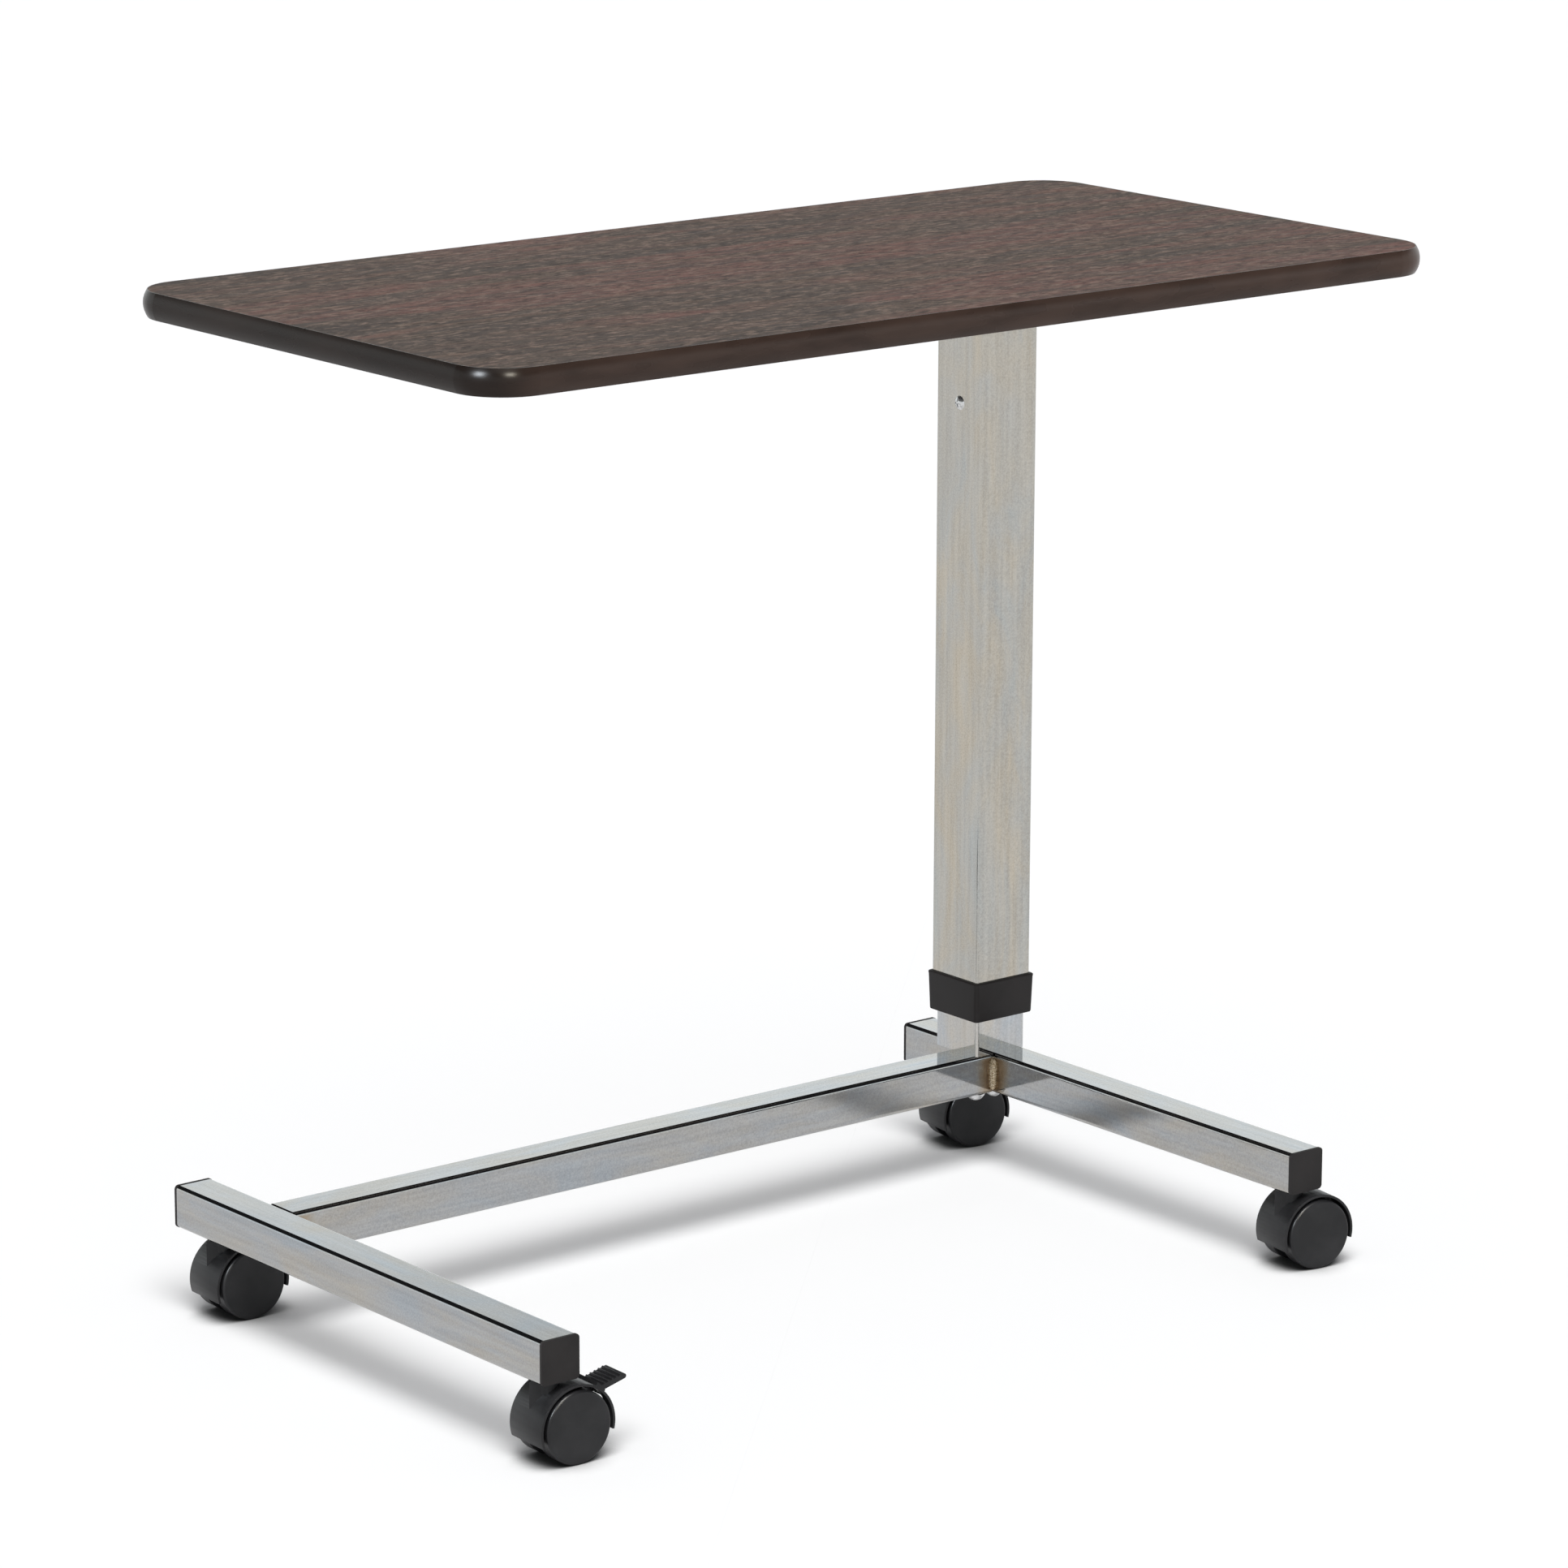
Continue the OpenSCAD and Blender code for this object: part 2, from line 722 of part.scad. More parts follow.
// Opening in the hood that the brake pedal works in
module pedal_slot() {
  translate([trail, 0, wheel_r]) {
    side_plate(2 * (pedal_half + slot_side_gap)) intersection() {
      difference() {
        circle(2 * hood_r);
        circle(slot_r);
      }
      slice(slot_angles, 2 * hood_r);
    }
    side_plate(2 * (pedal_hub_half + clear)) {
      translate(pedal_pivot) circle(pedal_hub_r + hub_gap);
      intersection() {
        difference() {
          circle(2 * hood_r);
          circle(slot_floor_r);
        }
        slice(slot_angles, 2 * hood_r);
      }
    }
  }
}

module caster_hood(i, braked) {
  hub_r = 8;
  color(plastic) at_stem(i) difference() {
    union() {
      hood_drum();
      translate([trail, 0, wheel_r]) cross_cylinder(hub_r, 2 * web_half);
      hood_boss();
    }
    wheel_room();
    translate([0, 0, stem_bottom - clear]) cylinder(r = stem_r + run, h = hood_top);
    translate([trail, 0, wheel_r]) cross_cylinder(axle_r, hood_w);
    if (braked) {
      pedal_slot();
      translate([trail + pedal_pivot.x, 0, wheel_r + pedal_pivot.y])
        cross_cylinder(pedal_pin_r, 2 * web_half + 1);
    }
  }
}

module caster_axle(i) {
  color(steel) at_axle(i) cross_cylinder(axle_r, 2 * (wheel_face - wheel_skin - axle_end_gap));
}

// side is -1 for the wheel towards the front and 1 for the wheel towards the rear
module caster_wheel(i, side) {
  hub_r = 6;
  rim_r = 20.5;
  recess_depth = 8;
  bore_depth = wheel_w - wheel_skin;
  inner_edge = 1;
  color(plastic) at_axle(i) translate([0, side * (wheel_face - wheel_w), 0])
    rotate([-side * 90, 0, 0]) rotate_extrude($fn = 96) difference() {
      union() {
        square([wheel_r - wheel_edge_r, wheel_w]);
        translate([0, inner_edge]) square([wheel_r, wheel_w - wheel_edge_r - inner_edge]);
        square([wheel_r - inner_edge, wheel_w / 2]);
        translate([wheel_r - wheel_edge_r, wheel_w - wheel_edge_r]) circle(wheel_edge_r);
        translate([wheel_r - inner_edge, inner_edge]) circle(inner_edge);
      }
      translate([-1, -1]) square([axle_r + run + 1, bore_depth + 1]);
      translate([hub_r, -1]) square([rim_r - hub_r, recess_depth + 1]);
    }
}

module pedal_profile() {
  difference() {
    union() {
      translate(pedal_pivot) circle(pedal_hub_r);
      intersection() {
        slice(arm_angles, 2 * hood_r);
        difference() {
          circle(arm_r[1]);
          circle(arm_r[0]);
        }
      }
    }
    translate(pedal_pivot) circle(pedal_pin_r + run);
  }
}

// The shoe, and the ribbed foot plate that it carries
module foot_profile() {
  intersection() {
    slice(shoe_angles, 2 * hood_r);
    difference() {
      circle(shoe_r[1]);
      circle(shoe_r[0]);
    }
  }
  translate(pedal_foot) rotate(pedal_tilt) {
    translate([-foot_root, -pedal_t / 2]) square([pedal_length + foot_root, pedal_t]);
    translate([pedal_length, 0]) circle(pedal_t / 2);
    for (k = [0:rib_count - 1])
      translate([rib_first + k * rib_pitch, pedal_t / 2 - rib_sink]) circle(rib_r);
  }
}

module brake_pedal(i) {
  color(plastic) at_axle(i) {
    side_plate(2 * pedal_hub_half) pedal_profile();
    side_plate(2 * pedal_half) foot_profile();
  }
}

module pedal_pin(i) {
  color(steel) at_axle(i) translate([pedal_pivot.x, 0, pedal_pivot.y])
    cross_cylinder(pedal_pin_r, 2 * web_half);
}

// ---------------------------------------------------------------- the nodes

left_foot_rail();
right_foot_rail();
cross_bar();
inner_column();
weld_beads();
end_cap(rail_x[0], 0);  // end_cap_front_left
end_cap(rail_x[1], 0);  // end_cap_front_right
end_cap(rail_x[0], 1);  // end_cap_rear_left
end_cap(rail_x[1], 1);  // end_cap_rear_right
stem_sockets();
caster_stem(0);  // caster_stem_front_left
caster_stem(1);  // caster_stem_front_right
caster_stem(2);  // caster_stem_rear_left
caster_stem(3);  // caster_stem_rear_right
upper_glide();
spring_foot();
anchor_bolts();
gas_spring_cylinder();
gas_spring_guide();
tabletop_core();
top_laminate();
backing_laminate();
edge_moulding();
support_channel();
support_screws();
outer_column();
column_collar();
head_block();
head_screws();
gas_spring_rod();
gas_spring_piston();
lever_bracket();
lever_pin();
push_rod_guide();
release_lever();
lever_grip();
valve_pin();
push_rod();
caster_hood(0, true);  // caster_hood_front_left
caster_hood(1, false);  // caster_hood_front_right
caster_hood(2, false);  // caster_hood_rear_left
caster_hood(3, true);  // caster_hood_rear_right
caster_axle(0);  // caster_axle_front_left
caster_axle(1);  // caster_axle_front_right
caster_axle(2);  // caster_axle_rear_left
caster_axle(3);  // caster_axle_rear_right
caster_wheel(0, -1);  // wheel_front_left_a
caster_wheel(0, 1);  // wheel_front_left_b
caster_wheel(1, -1);  // wheel_front_right_a
caster_wheel(1, 1);  // wheel_front_right_b
caster_wheel(2, -1);  // wheel_rear_left_a
caster_wheel(2, 1);  // wheel_rear_left_b
caster_wheel(3, -1);  // wheel_rear_right_a
caster_wheel(3, 1);  // wheel_rear_right_b
brake_pedal(0);  // brake_pedal_front_left
brake_pedal(3);  // brake_pedal_rear_right
pedal_pin(0);  // pedal_pin_front_left
pedal_pin(3);  // pedal_pin_rear_right
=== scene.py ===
"""Overbed table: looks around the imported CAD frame.

Everything is in metres, in the part's own frame: +Z is up, -Y is the front.
"""

import json
import math

import bmesh
import bpy
from mathutils import Matrix, Vector, noise


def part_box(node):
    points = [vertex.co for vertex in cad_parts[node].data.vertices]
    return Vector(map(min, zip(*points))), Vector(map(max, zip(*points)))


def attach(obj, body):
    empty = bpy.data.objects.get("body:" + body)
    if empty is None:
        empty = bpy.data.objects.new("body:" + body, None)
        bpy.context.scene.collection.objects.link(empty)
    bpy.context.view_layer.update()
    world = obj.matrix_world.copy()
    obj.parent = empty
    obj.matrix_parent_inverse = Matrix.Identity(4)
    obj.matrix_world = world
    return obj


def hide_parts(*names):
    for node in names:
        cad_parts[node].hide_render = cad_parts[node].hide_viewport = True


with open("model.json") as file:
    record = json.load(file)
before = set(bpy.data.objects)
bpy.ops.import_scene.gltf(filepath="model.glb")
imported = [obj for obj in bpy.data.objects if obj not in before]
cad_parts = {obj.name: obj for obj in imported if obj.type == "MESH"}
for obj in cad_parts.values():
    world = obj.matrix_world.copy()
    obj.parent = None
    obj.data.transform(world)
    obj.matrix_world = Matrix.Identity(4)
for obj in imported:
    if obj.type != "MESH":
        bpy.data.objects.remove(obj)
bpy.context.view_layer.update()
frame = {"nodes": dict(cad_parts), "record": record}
MM = 0.001


# ---------------------------------------------------------------- node helpers


class Shader:
    """A material's node tree, with one Principled shader at its end."""

    def __init__(self, name, roughness, metallic=0.0, **sockets):
        self.material = bpy.data.materials.new(name)
        self.material.use_nodes = True
        self.tree = self.material.node_tree
        self.bsdf = self.tree.nodes["Principled BSDF"]
        self.bsdf.inputs["Roughness"].default_value = roughness
        self.bsdf.inputs["Metallic"].default_value = metallic
        for socket, value in sockets.items():
            self.bsdf.inputs[socket.replace("_", " ")].default_value = value
        self.place = self.node("ShaderNodeTexCoord").outputs["Object"]

    def node(self, kind, inputs=None, **settings):
        made = self.tree.nodes.new(kind)
        for key, value in settings.items():
            setattr(made, key, value)
        for key, value in (inputs or {}).items():
            self.put(value, made.inputs[key])
        return made

    def put(self, value, socket):
        if isinstance(value, bpy.types.NodeSocket):
            self.tree.links.new(value, socket)
        else:
            socket.default_value = value

    def scaled(self, scale, offset=(0, 0, 0)):
        made = self.node("ShaderNodeMapping", {"Vector": self.place})
        made.inputs["Scale"].default_value = scale
        made.inputs["Location"].default_value = offset
        return made.outputs["Vector"]

    def noise(self, scale, detail=4.0, rough=0.55, warp=0.0, offset=(0, 0, 0)):
        """Noise whose grain is 1/scale metres along each axis."""
        made = self.node(
            "ShaderNodeTexNoise",
            {
                "Vector": self.scaled(scale, offset),
                "Scale": 1.0,
                "Detail": detail,
                "Roughness": rough,
                "Distortion": warp,
            },
        )
        return made.outputs["Fac"]

    def span(self, value, low, high, to_low=0.0, to_high=1.0):
        made = self.node(
            "ShaderNodeMapRange",
            {
                "Value": value,
                "From Min": low,
                "From Max": high,
                "To Min": to_low,
                "To Max": to_high,
            },
        )
        return made.outputs["Result"]

    def ramp(self, value, stops):
        made = self.node("ShaderNodeValToRGB", {"Fac": value})
        made.color_ramp.elements[0].position = stops[0][0]
        made.color_ramp.elements[0].color = (*stops[0][1], 1)
        made.color_ramp.elements[1].position = stops[-1][0]
        made.color_ramp.elements[1].color = (*stops[-1][1], 1)
        for position, colour in stops[1:-1]:
            made.color_ramp.elements.new(position).color = (*colour, 1)
        return made.outputs["Color"]

    def mix(self, a, b, share, blend="MIX"):
        made = self.node("ShaderNodeMix", data_type="RGBA", blend_type=blend)
        self.put(share, made.inputs["Factor"])
        self.put(a if isinstance(a, bpy.types.NodeSocket) else (*a, 1), made.inputs["A"])
        self.put(b if isinstance(b, bpy.types.NodeSocket) else (*b, 1), made.inputs["B"])
        return made.outputs["Result"]

    def math(self, operation, a, b):
        made = self.node("ShaderNodeMath", operation=operation)
        self.put(a, made.inputs[0])
        self.put(b, made.inputs[1])
        return made.outputs["Value"]

    def bump(self, height, depth, strength=1.0):
        made = self.node(
            "ShaderNodeBump",
            {"Height": height, "Distance": depth, "Strength": strength},
        )
        if self.bsdf.inputs["Normal"].is_linked:
            earlier = self.bsdf.inputs["Normal"].links[0].from_socket
            self.tree.links.new(earlier, made.inputs["Normal"])
        self.put(made.outputs["Normal"], self.bsdf.inputs["Normal"])

    def colour(self, value):
        self.put(value, self.bsdf.inputs["Base Color"])

    def roughness(self, value):
        self.put(value, self.bsdf.inputs["Roughness"])


def along(axis, fine, long):
    """A noise scale that is fine across a piece and long along one axis."""
    return tuple(long if k == axis else fine for k in range(3))


# ---------------------------------------------------------------- materials


def plated_steel(name, axis, level, rough, warmth=0.0, weld_lines=()):
    """Bright plating over drawn tube: speckle, faint drawing marks, patches of blue and tan."""
    m = Shader(name, rough[0], metallic=1.0)
    patches = m.noise(along(axis, 30, 9), 4, 0.6, 1.1)
    green, blue = 1 - warmth / 3, 1 - warmth
    tint = m.ramp(
        patches,
        [
            (0.32, (0.90, 0.965 * green, 1.03 * blue)),
            (0.45, (0.97, 0.985 * green, 1.0 * blue)),
            (0.55, (1.0, 0.985 * green, 0.955 * blue)),
            (0.68, (1.04, 0.985 * green, 0.90 * blue)),
        ],
    )
    speckle = m.noise((820, 820, 820), 3, 0.65)
    streak = m.noise(along(axis, 300, 12), 4, 0.6)
    grain = m.mix(speckle, streak, 0.4)
    tone = m.span(grain, 0.36, 0.64, level * 0.84, level * 1.16)
    grey = m.node("ShaderNodeCombineColor", {"Red": tone, "Green": tone, "Blue": tone})
    colour = m.mix(tint, grey.outputs["Color"], 1.0, "MULTIPLY")
    tube_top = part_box("cross_bar")[1].z
    heat_starts, heat_full = 26 * MM, 8.5 * MM  # distances from a weld's line
    for x, y in weld_lines:
        shifted = m.scaled((1, 1, 0), (-x, -y, 0))
        distance = m.node("ShaderNodeVectorMath", {0: shifted}, operation="LENGTH")
        wander = m.noise((120, 120, 60), 3)
        reach = m.math("MULTIPLY", wander, 0.012)
        near = m.math("ADD", distance.outputs["Value"], reach)
        height = m.node("ShaderNodeSeparateXYZ", {0: m.place}).outputs["Z"]
        below_edge = m.span(height, tube_top - 1.5 * MM, tube_top - 4 * MM)
        heat = m.math("MULTIPLY", m.span(near, heat_starts, heat_full), below_edge)
        burnt = m.ramp(
            heat,
            [
                (0.0, (level, level * 0.98, level * 0.93)),
                (0.3, (level, level * 0.84, level * 0.58)),
                (0.65, (0.30, 0.205, 0.10)),
                (1.0, (0.15, 0.09, 0.035)),
            ],
        )
        colour = m.mix(colour, burnt, m.math("MULTIPLY", heat, 0.85))
    m.colour(colour)
    m.roughness(m.span(patches, 0.3, 0.7, rough[0], rough[1]))
    m.bump(m.noise(along(axis, 40, 8), 2), 0.00004, 0.25)
    m.bump(speckle, 0.000004, 0.3)
    return m.material


def moulded(name, colour, rough, grain=2600, depth=0.00004, shine=0.3):
    """Moulded plastic with a fine spark-eroded grain and slight handling marks."""
    m = Shader(name, rough, Specular_IOR_Level=shine)
    handled = m.noise((38, 38, 38), 4)
    lighter = tuple(c * 1.5 + 0.002 for c in colour)
    m.colour(m.mix(colour, lighter, m.span(handled, 0.38, 0.68)))
    m.roughness(m.span(handled, 0.3, 0.7, rough - 0.05, rough + 0.08))
    m.bump(m.noise((grain,) * 3, 2), depth, 0.5)
    return m.material


def painted(name, colour, rough):
    """Powder coat with its orange peel."""
    m = Shader(name, rough)
    peel = m.noise((700,) * 3, 2)
    m.colour(m.mix(colour, tuple(c * 1.35 for c in colour), m.noise((55,) * 3, 3)))
    m.bump(peel, 0.00008, 0.5)
    return m.material


def turned_metal(name, level, rough):
    """Plated or ground metal with fine marks all over."""
    m = Shader(name, rough, metallic=1.0)
    mottle = m.noise((260,) * 3, 5)
    low, high = (level * 0.82,) * 3, (level * 1.1,) * 3
    m.colour(m.mix(low, high, m.span(mottle, 0.3, 0.7)))
    m.roughness(m.span(mottle, 0.3, 0.7, rough, rough + 0.1))
    m.bump(mottle, 0.00001, 0.4)
    return m.material


def weld_metal():
    """Coarse, heat-tinted weld: from burnt brown to bright straw."""
    m = Shader("weld_metal", 0.42, metallic=1.0)
    grain = m.noise((1300,) * 3, 5, 0.7)
    m.colour(
        m.ramp(
            grain,
            [
                (0.36, (0.10, 0.065, 0.03)),
                (0.46, (0.38, 0.29, 0.18)),
                (0.55, (0.64, 0.54, 0.40)),
                (0.66, (0.92, 0.86, 0.74)),
            ],
        )
    )
    m.bump(grain, 0.0005, 0.9)
    return m.material


def walnut_laminate():
    """Printed walnut: grey and red-brown bands along X, under fine grain and short dark pores."""
    m = Shader("walnut_laminate", 0.62, Specular_IOR_Level=0.07)
    bands = m.noise((2.2, 17, 1), 5, 0.58, 1.2)
    colour = m.ramp(
        bands,
        [
            (0.34, (0.066, 0.055, 0.049)),
            (0.45, (0.097, 0.074, 0.060)),
            (0.53, (0.128, 0.082, 0.067)),
            (0.60, (0.152, 0.081, 0.069)),
            (0.72, (0.108, 0.079, 0.066)),
        ],
    )
    fibres = m.noise((13, 130, 1), 5, 0.66, 0.5)
    colour = m.mix(colour, (0.058, 0.046, 0.041), m.span(fibres, 0.57, 0.41, 0.0, 0.66))
    pores = m.noise((95, 270, 1), 3, 0.72)
    pore = m.span(pores, 0.52, 0.36)
    colour = m.mix(colour, (0.030, 0.023, 0.020), m.math("MULTIPLY", pore, 0.72))
    flecks = m.noise((85, 250, 1), 3, 0.72, offset=(3.1, 7.7, 0))
    colour = m.mix(colour, (0.235, 0.17, 0.135), m.span(flecks, 0.51, 0.66, 0.0, 0.65))
    m.colour(colour)
    m.roughness(m.span(fibres, 0.3, 0.7, 0.55, 0.68))
    m.bump(pores, 0.0001, 0.4)
    m.bump(fibres, 0.00005, 0.4)
    return m.material


def backing_sheet():
    """The dark brown sheet under the top."""
    m = Shader("backing_sheet", 0.6)
    weave = m.noise((120, 320, 1), 4)
    m.colour(m.mix((0.05, 0.04, 0.034), (0.085, 0.07, 0.058), weave))
    m.bump(weave, 0.00006, 0.5)
    return m.material


def particle_board():
    """Pale chips, for the hidden core."""
    m = Shader("particle_board", 0.85)
    chips = m.node(
        "ShaderNodeTexVoronoi", {"Vector": m.scaled((260, 260, 520)), "Scale": 1.0}
    )
    m.colour(m.mix((0.34, 0.23, 0.12), (0.58, 0.44, 0.27), chips.outputs["Distance"]))
    m.bump(chips.outputs["Distance"], 0.0003, 0.6)
    return m.material


def edge_band():
    """Extruded vinyl: dark brown, semi-gloss, a little lighter in long soft patches."""
    m = Shader("edge_band", 0.27, Specular_IOR_Level=0.13)
    soft = m.noise((16, 16, 60), 3)
    m.colour(m.mix((0.0115, 0.0078, 0.0062), (0.020, 0.0135, 0.0108), m.span(soft, 0.3, 0.7)))
    m.roughness(m.span(soft, 0.3, 0.7, 0.24, 0.33))
    m.bump(m.noise((420,) * 3, 2), 0.00002, 0.4)
    return m.material


def corner_lines():
    """Where the crossbar meets the foot rails: x and y, and the signs of the bead's side."""
    bar_low, bar_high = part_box("cross_bar")
    return [
        (x, y, inward, outward)
        for x, inward in ((bar_low.x, 1), (bar_high.x, -1))
        for y, outward in ((bar_low.y, -1), (bar_high.y, 1))
    ]


WELDS = corner_lines()
weld_xy = [(x, y) for x, y, _, _ in WELDS]
X_AXIS, Y_AXIS, Z_AXIS = 0, 1, 2
STEEL, BASE_STEEL, INNER_STEEL = 0.435, 0.375, 0.46  # how light each plating is
MATERIALS = {
    "bar_steel": plated_steel("bar_steel", X_AXIS, BASE_STEEL, (0.05, 0.1), 0, weld_xy),
    "rail_steel": plated_steel("rail_steel", Y_AXIS, BASE_STEEL, (0.05, 0.1), 0, weld_xy),
    "inner_steel": plated_steel("inner_steel", Z_AXIS, INNER_STEEL, (0.03, 0.07)),
    "outer_steel": plated_steel("outer_steel", Z_AXIS, STEEL, (0.08, 0.14), 0.12),
    "weld_metal": weld_metal(),
    "black_plastic": moulded("black_plastic", (0.0105, 0.009, 0.009), 0.5, shine=0.2),
    "caster_plastic": moulded("caster_plastic", (0.0115, 0.0115, 0.0125), 0.33, 1800, shine=0.24),
    "zinc_fasteners": turned_metal("zinc_fasteners", 0.62, 0.2),
    "polished_rod": turned_metal("polished_rod", 0.66, 0.08),
    "black_steel": painted("black_steel", (0.02, 0.02, 0.021), 0.42),
    "spring_internals": turned_metal("spring_internals", 0.4, 0.3),
    "white_nylon": moulded("white_nylon", (0.5, 0.48, 0.41), 0.5),
    "particle_board": particle_board(),
    "walnut_laminate": walnut_laminate(),
    "backing_sheet": backing_sheet(),
    "edge_band": edge_band(),
}
OWN_STEEL = {
    "cross_bar": "bar_steel",
    "left_foot_rail": "rail_steel",
    "right_foot_rail": "rail_steel",
    "inner_column": "inner_steel",
    "outer_column": "outer_steel",
}
for part in frame["record"]["subparts"]:
    chosen = OWN_STEEL.get(part["node"], part["material_slot"])
    mesh = frame["nodes"][part["node"]].data
    mesh.materials.clear()
    mesh.materials.append(MATERIALS[chosen])


# ---------------------------------------------------------------- detailed pieces


def finished(name, bm, material, body, replaced=()):
    """Turns a bmesh into a piece that rides on a body."""
    bmesh.ops.recalc_face_normals(bm, faces=bm.faces)
    mesh = bpy.data.meshes.new(name)
    bm.to_mesh(mesh)
    bm.free()
    mesh.materials.append(MATERIALS[material])
    for face in mesh.polygons:
        face.use_smooth = True
    piece = bpy.data.objects.new(name, mesh)
    bpy.context.scene.collection.objects.link(piece)
    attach(piece, body)
    if replaced:
        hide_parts(*replaced)
    return piece


def weld_bead(bm, x, y, inward, outward, low, high, radius):
    """One upright fillet weld: overlapping ripples that swell and narrow, tapered at both ends."""
    rings, around = 110, 16
    ripple, back = 1.7 * MM, 0.6 * MM
    rows = []
    for k in range(rings + 1):
        share = k / rings
        z = low + (high - low) * share
        taper = math.sqrt(max(0.0, 1 - abs(2 * share - 1) ** 5)) * 0.92 + 0.08
        phase = (z / ripple) % 1.0
        swell = 1 - 0.13 * phase ** 2 + 0.05 * math.sin(9 * share + x * 40)
        row = []
        for j in range(around + 1):
            angle = math.pi / 2 * j / around
            sag = -0.7 * MM * math.sin(2 * angle)
            rough = 0.22 * MM * noise.noise(Vector((x * 90 + angle * 4, y * 90, z * 1500)))
            reach = radius * taper * swell + rough
            px = x + inward * (reach * math.cos(angle))
            py = y + outward * (reach * math.sin(angle))
            row.append(bm.verts.new((px, py, z + sag)))
        row.append(bm.verts.new((x - inward * back, y + outward * radius * taper * 0.5, z)))
        row.append(bm.verts.new((x - inward * back, y - outward * back, z)))
        row.append(bm.verts.new((x + inward * radius * taper * 0.5, y - outward * back, z)))
        rows.append(row)
    for lower, upper in zip(rows, rows[1:]):
        for j in range(len(lower)):
            n = (j + 1) % len(lower)
            bm.faces.new((lower[j], lower[n], upper[n], upper[j]))
    bm.faces.new(rows[0])
    bm.faces.new(rows[-1])


bead_low, bead_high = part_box("weld_beads")
bm = bmesh.new()
BEAD_RADIUS = 4.1 * MM
for x, y, inward, outward in WELDS:
    weld_bead(bm, x, y, inward, outward, bead_low.z, bead_high.z, BEAD_RADIUS)
finished("weld_bead_ripples", bm, "weld_metal", "base", ["weld_beads"])


def square_ring(centre, half, corner, z, steps=8):
    """Points of a rounded square at one height."""
    points = []
    for k, (sx, sy) in enumerate(((1, 1), (-1, 1), (-1, -1), (1, -1))):
        for j in range(steps + 1):
            angle = math.pi / 2 * (k + j / steps)
            points.append(
                (
                    centre.x + sx * (half - corner) + corner * math.cos(angle),
                    centre.y + sy * (half - corner) + corner * math.sin(angle),
                    z,
                )
            )
    return points


def closed_loft(bm, sections):
    """Joins rings into one closed band, the last ring back to the first."""
    rings = [[bm.verts.new(point) for point in section] for section in sections]
    for lower, upper in zip(rings, rings[1:] + rings[:1]):
        for j in range(len(lower)):
            n = (j + 1) % len(lower)
            bm.faces.new((lower[j], lower[n], upper[n], upper[j]))


def drafted_collar():
    """The moulded collar: it widens upwards, its edges are rounded and its top shows a ledge."""
    low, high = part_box("column_collar")
    tube_low, tube_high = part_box("outer_column")
    inner_low, inner_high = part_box("inner_column")
    overlap = 26.5 * MM  # how far the collar covers the outer tube
    top_z = tube_low.z + overlap
    centre = (tube_low + tube_high) / 2
    outer = (high.x - low.x) / 2
    tube = (tube_high.x - tube_low.x) / 2
    inner = (inner_high.x - inner_low.x) / 2
    draft, edge = 0.8 * MM, 1.1 * MM
    profile = [
        (inner + 0.1 * MM, low.z, 2.4 * MM),
        (outer - draft - edge, low.z, 2.4 * MM),
        (outer - draft - 0.3 * edge, low.z + 0.3 * edge, 3.0 * MM),
        (outer - draft, low.z + edge, 3.2 * MM),
        (outer, top_z - 2.2 * MM, 3.2 * MM),
        (outer + 0.2 * MM, top_z - 1.2 * MM, 3.2 * MM),
        (outer + 0.1 * MM, top_z - 0.4 * MM, 3.1 * MM),
        (outer - 0.4 * MM, top_z, 2.8 * MM),
        (tube + 0.05 * MM, top_z, 2.0 * MM),
        (tube + 0.05 * MM, tube_low.z, 2.0 * MM),
        (inner + 0.1 * MM, tube_low.z, 2.4 * MM),
    ]
    bm = bmesh.new()
    closed_loft(bm, [square_ring(centre, half, corner, z) for half, z, corner in profile])
    collar = finished(
        "collar_moulding", bm, "black_plastic", "top_assembly", ["column_collar"]
    )
    collar.data.set_sharp_from_angle(angle=math.radians(38))


drafted_collar()


# ---------------------------------------------------------------- soft edges

# Bevel widths in millimetres, by how the nodes' names start.
EDGE_SOFTENED = {
    "end_cap": 0.7,
    "anchor_bolts": 0.4,
    "release_lever": 0.5,
    "lever_grip": 0.8,
    "support_channel": 0.5,
    "caster_hood": 0.35,
    "brake_pedal": 0.35,
}


def softened(node, width):
    """Rounds a CAD node's sharp edges with modifiers, and leaves its mesh alone."""
    weld = node.modifiers.new("join", "WELD")
    weld.merge_threshold = 0.01 * MM
    bevel = node.modifiers.new("soften", "BEVEL")
    bevel.width = width
    bevel.segments = 3
    bevel.limit_method = "ANGLE"
    bevel.angle_limit = math.radians(40)
    bevel.use_clamp_overlap = True
    bevel.harden_normals = True


for name, node in frame["nodes"].items():
    for start, width in EDGE_SOFTENED.items():
        if name.startswith(start):
            softened(node, width * MM)


# ---------------------------------------------------------------- stage

floor_mesh = bpy.data.meshes.new("floor")
FLOOR_REACH = 40
floor_mesh.from_pydata(
    [(x * FLOOR_REACH, y * FLOOR_REACH, 0) for x, y in ((-1, -1), (1, -1), (1, 1), (-1, 1))],
    [],
    [(0, 1, 2, 3)],
)
floor = bpy.data.objects.new("floor", floor_mesh)
bpy.context.scene.collection.objects.link(floor)
CAMERA_SIDE = -38.8  # azimuth that the camera looks from


def toward(azimuth, elevation):
    """Unit vector; azimuth 0 is -Y and grows towards +X."""
    a, e = math.radians(azimuth), math.radians(elevation)
    return Vector((math.sin(a) * math.cos(e), -math.cos(a) * math.cos(e), math.sin(e)))


def cos_deg(angle):
    return math.cos(math.radians(angle))


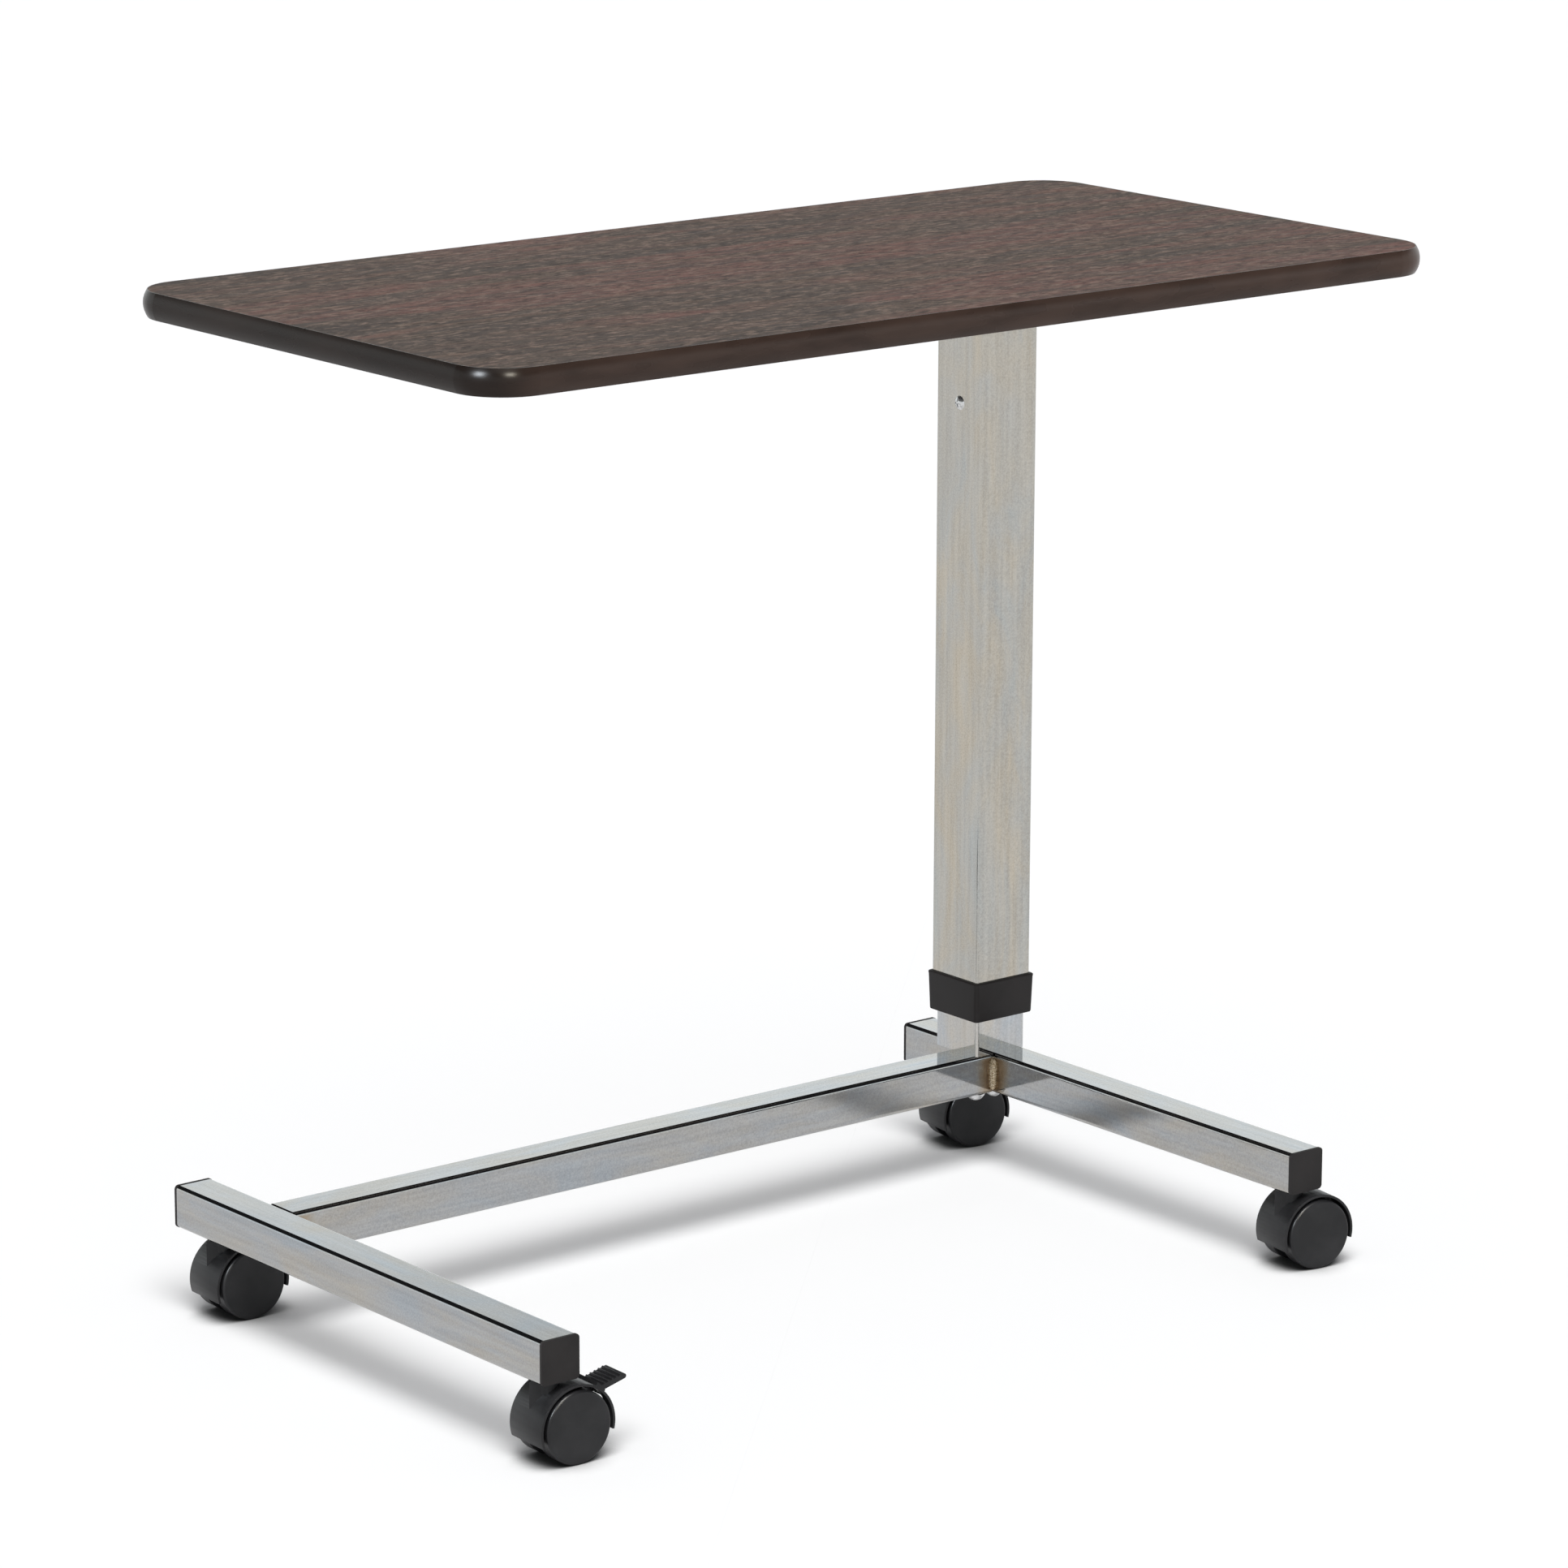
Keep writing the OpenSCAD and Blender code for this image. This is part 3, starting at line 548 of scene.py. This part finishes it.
def floor_paper():
    """White paper with painted contact shadow: its colour goes dark, by ambient occlusion, close
    to the pieces that stand on it.
    """
    m = Shader("floor_paper", 0.9)
    open_sky = m.node("ShaderNodeAmbientOcclusion", {"Distance": 0.05}, samples=16).outputs["AO"]
    # Painted contact shadow: the paper's colour runs from white to near black where little open
    # sky is left.
    painted_contact_shade = m.span(open_sky, 0.2, 0.75)
    m.colour(m.mix((0.04, 0.04, 0.04), (0.93, 0.93, 0.93), painted_contact_shade))
    return m.material


floor_mesh.materials.append(floor_paper())

world = bpy.data.worlds.new("studio")
world.use_nodes = True
bpy.context.scene.world = world
sky = world.node_tree
background = sky.nodes["Background"]
direction = sky.nodes.new("ShaderNodeTexCoord").outputs["Generated"]
rays = sky.nodes.new("ShaderNodeLightPath")


def cosine_to(target):
    """Cosine between the world's direction and a fixed one."""
    made = sky.nodes.new("ShaderNodeVectorMath")
    made.operation = "DOT_PRODUCT"
    sky.links.new(direction, made.inputs[0])
    made.inputs[1].default_value = target
    return made.outputs["Value"]


def spread(value, start, end):
    """0 where the value is at its start, 1 at its end."""
    made = sky.nodes.new("ShaderNodeMapRange")
    made.inputs["From Min"].default_value = start
    made.inputs["From Max"].default_value = end
    sky.links.new(value, made.inputs["Value"])
    return made.outputs["Result"]


def blended(a, b, share):
    """From colour a at share 0 to colour b at share 1."""
    made = sky.nodes.new("ShaderNodeMix")
    made.data_type = "RGBA"
    for value, key in ((a, "A"), (b, "B")):
        if isinstance(value, bpy.types.NodeSocket):
            sky.links.new(value, made.inputs[key])
        else:
            made.inputs[key].default_value = (*value, 1)
    sky.links.new(share, made.inputs["Factor"])
    return made.outputs["Result"]


# What polished surfaces see: a bright backdrop that fades out 17 to 22 degrees up, a dark room
# above it, a dim ceiling overhead, and the key light's soft patch. Other surfaces get an even
# fill, and the camera sees white.
UP = Vector((0, 0, 1))
KEY_AZIMUTH, KEY_ELEVATION, KEY_ANGLE, KEY_ENERGY = CAMERA_SIDE + 6, 61, 44, 3.05
BACKDROP, DARK_ROOM, CEILING = (1.22, 1.28, 1.29), (0.02, 0.02, 0.022), (0.32, 0.32, 0.33)
KEY_PATCH, WHITE, FILL = (1.5, 1.48, 1.44), (1.05, 1.05, 1.05), (0.26, 0.265, 0.275)
room = blended(BACKDROP, DARK_ROOM, spread(cosine_to(UP), cos_deg(72.6), cos_deg(67.6)))
room = blended(room, CEILING, spread(cosine_to(UP), cos_deg(34), cos_deg(14)))
near_key = spread(
    cosine_to(toward(KEY_AZIMUTH, KEY_ELEVATION)),
    cos_deg(KEY_ANGLE / 2 + 2),
    cos_deg(KEY_ANGLE / 2 - 3),
)
polished = blended(room, KEY_PATCH, near_key)
seen = blended(WHITE, polished, rays.outputs["Is Glossy Ray"])
lit = blended(seen, FILL, rays.outputs["Is Diffuse Ray"])
sky.links.new(lit, background.inputs["Color"])
background.inputs["Strength"].default_value = 1.0


AIM = Vector((0, 0, 0.45))  # the middle of the table, which the boxes face


def softbox(name, azimuth, elevation, distance, size, energy, colour):
    """A square light that faces the table."""
    data = bpy.data.lights.new(name, "AREA")
    data.shape = "RECTANGLE"
    data.size = data.size_y = size
    data.energy = energy
    data.color = colour
    light = bpy.data.objects.new(name, data)
    offset = toward(azimuth, elevation) * distance
    light.location = AIM + offset
    light.rotation_mode = "QUATERNION"
    light.rotation_quaternion = offset.to_track_quat("Z", "Y")
    bpy.context.scene.collection.objects.link(light)
    return light


def light_only(light, starts):
    """Keeps a light on the CAD nodes whose names start with one of the given words."""
    receivers = bpy.data.collections.new("lit_by_" + light.name)
    for name, node in frame["nodes"].items():
        if name.startswith(starts):
            receivers.objects.link(node)
    light.light_linking.receiver_collection = receivers


# Boxes that only make highlights, and one that brings out the moulding's long side.
left_box = softbox("left_box", -84, 27, 3.4, 0.75, 170, (0.88, 0.94, 1.0))
front_box = softbox("front_box", -27, 31, 4.2, 0.8, 130, (1.0, 0.94, 0.8))
for box in (left_box, front_box):
    box.visible_diffuse = False
    light_only(box, ("edge_moulding", "caster_hood", "wheel", "end_cap"))
side = softbox("moulding_side", 45, 8, 6.0, 1.5, 1000, (1.0, 0.88, 0.84))
side.visible_glossy = False
light_only(side, ("edge_moulding",))

# A small high light that draws the casters' rims.
rim = softbox("caster_rim", CAMERA_SIDE - 10, 62, 3.0, 0.6, 160, (1.0, 0.98, 0.95))
rim.visible_diffuse = False
light_only(rim, ("caster_hood", "wheel", "brake_pedal", "end_cap"))

# The key is a broad even light. Only the base and the casters cast its shadow on the floor.
key_data = bpy.data.lights.new("key", "SUN")
key_data.energy = KEY_ENERGY
key_data.angle = math.radians(KEY_ANGLE)
key = bpy.data.objects.new("key", key_data)
key.rotation_mode = "QUATERNION"
key.rotation_quaternion = toward(KEY_AZIMUTH, KEY_ELEVATION).to_track_quat("Z", "Y")
key.visible_glossy = False
bpy.context.scene.collection.objects.link(key)
casting = bpy.data.collections.new("casts_key_shadow")
base_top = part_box("cross_bar")[1].z
for name, node in frame["nodes"].items():
    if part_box(name)[1].z < base_top + 5 * MM:
        casting.objects.link(node)
key.light_linking.blocker_collection = casting

# The camera, from the fit to the photograph's straight edges: its place from the middle of the
# top, its height above the floor, and its angles.
CAMERA_X, CAMERA_Y, CAMERA_Z = -2.7565, -3.4203, 1.4008
YAW, PITCH, ROLL = (math.radians(v) for v in (-38.7715, -13.8508, 0.168))
SENSOR_MM, LENS_MM = 36, 145.2
camera_data = bpy.data.cameras.new("camera")
camera_data.sensor_width = SENSOR_MM
camera_data.lens = LENS_MM
camera_data.clip_end = 100
camera = bpy.data.objects.new("camera", camera_data)
bpy.context.scene.collection.objects.link(camera)
top_low, top_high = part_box("edge_moulding")
middle = (top_low + top_high) / 2
camera.location = (middle.x + CAMERA_X, middle.y + CAMERA_Y, CAMERA_Z)
camera.rotation_mode = "QUATERNION"
turned = Matrix.Rotation(YAW, 3, "Z") @ Matrix.Rotation(math.pi / 2 + PITCH, 3, "X")
camera.rotation_quaternion = (turned @ Matrix.Rotation(ROLL, 3, "Z")).to_quaternion()
bpy.context.scene.camera = camera

bpy.context.scene.view_settings.view_transform = "Standard"

bpy.context.view_layer.update()
